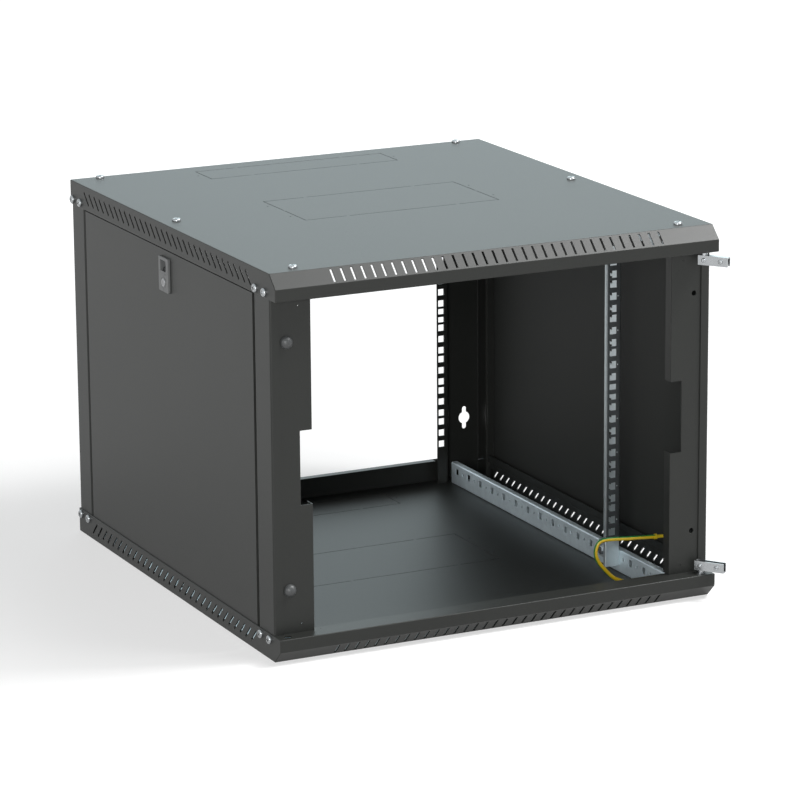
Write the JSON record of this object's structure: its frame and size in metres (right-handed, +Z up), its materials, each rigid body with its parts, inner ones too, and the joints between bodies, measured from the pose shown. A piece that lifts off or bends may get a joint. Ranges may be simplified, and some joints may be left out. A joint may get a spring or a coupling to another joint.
{
  "type": "rack cabinet",
  "caption": "Wall-mount 19-inch rack cabinet without its door: vented covers, tilting side panels with latches, galvanised depth rails, punched mounting rails and door hinge clamps.",
  "frame": {"origin": "middle of the underside of the bottom cover, at half the cabinet's depth", "axes": "+X to the right seen from the front, +Y from the open front to the rear, +Z up"},
  "size_m": [0.6114, 0.6684, 0.4812],
  "materials": {
    "powder_graphite": "fine textured powder coat, dark graphite grey",
    "zinc": "bright zinc plating",
    "latch_grey": "moulded grey plastic",
    "slider_grey": "moulded darker grey plastic",
    "lock_metal": "nickel plated zinc casting",
    "buffer_rubber": "dark grey rubber",
    "lead_green_yellow": "green and yellow insulated lead",
    "sleeve_yellow": "yellow insulated push-on sleeve"
  },
  "bodies": {
    "cabinet": {"bottom_cover": "powder_graphite", "bottom_cover_screws": "zinc", "depth_rail_lower_left": "zinc", "depth_rail_lower_right": "zinc", "depth_rail_upper_left": "zinc", "depth_rail_upper_right": "zinc", "door_buffers": "buffer_rubber", "earth_lead": "lead_green_yellow", "earth_nut": "zinc", "earth_ring_lug": "zinc", "earth_sleeve": "sleeve_yellow", "earth_stud": "zinc", "earth_tab": "zinc", "earth_washer": "zinc", "front_post_left": "powder_graphite", "front_post_right": "powder_graphite", "hinge_bush_lower": "zinc", "hinge_bush_upper": "zinc", "mounting_rail_left": "zinc", "mounting_rail_right": "zinc", "panel_pins_left": "zinc", "panel_pins_right": "zinc", "rail_bolts_left": "zinc", "rail_bolts_right": "zinc", "rear_upright_left": "powder_graphite", "rear_upright_right": "powder_graphite", "side_screws_left": "zinc", "side_screws_right": "zinc", "top_cover": "powder_graphite", "top_cover_screws": "zinc"},
    "panel_left": {"side_panel_left": "powder_graphite", "latch_housing_left": "latch_grey"},
    "panel_right": {"side_panel_right": "powder_graphite", "latch_housing_right": "latch_grey"},
    "slider_left": {"latch_slider_left": "slider_grey"},
    "slider_right": {"latch_slider_right": "slider_grey"},
    "lock_left": {"key_cylinder_left": "lock_metal", "lock_cam_left": "lock_metal"},
    "lock_right": {"key_cylinder_right": "lock_metal", "lock_cam_right": "lock_metal"},
    "hinge_lower": {"hinge_leaf_lower": "zinc", "hinge_leaf_screws_lower": "zinc", "hinge_pin_lower": "zinc"},
    "hinge_upper": {"hinge_leaf_upper": "zinc", "hinge_leaf_screws_upper": "zinc", "hinge_pin_upper": "zinc"}
  },
  "joints": [
    {"name": "panel_tilt_right", "type": "hinge", "parent": "cabinet", "child": "panel_right", "pos_m": [0.2985, 0.011, 0.032], "axis": [0, 1, 0], "range_deg": [0, 20]},
    {"name": "slider_lift_right", "type": "slide", "parent": "panel_right", "child": "slider_right", "axis": [0, 0, 1], "range_m": [0, 0.0035]},
    {"name": "key_turn_right", "type": "hinge", "parent": "panel_right", "child": "lock_right", "pos_m": [0.29, 0.011, 0.4032], "axis": [-1, 0, 0], "range_deg": [0, 90]},
    {"name": "panel_tilt_left", "type": "hinge", "parent": "cabinet", "child": "panel_left", "pos_m": [-0.2985, 0.011, 0.032], "axis": [0, -1, 0], "range_deg": [0, 20]},
    {"name": "slider_lift_left", "type": "slide", "parent": "panel_left", "child": "slider_left", "axis": [0, 0, 1], "range_m": [0, 0.0035]},
    {"name": "key_turn_left", "type": "hinge", "parent": "panel_left", "child": "lock_left", "pos_m": [-0.29, 0.011, 0.4032], "axis": [1, 0, 0], "range_deg": [0, 90]},
    {"name": "hinge_swing_lower", "type": "hinge", "parent": "cabinet", "child": "hinge_lower", "pos_m": [0.2851, -0.3144, 0.044], "axis": [0, 0, 1], "range_deg": [-126.5, 53.5]},
    {"name": "hinge_swing_upper", "type": "hinge", "parent": "cabinet", "child": "hinge_upper", "pos_m": [0.2851, -0.3144, 0.434], "axis": [0, 0, 1], "range_deg": [-126.5, 53.5]}
  ]
}
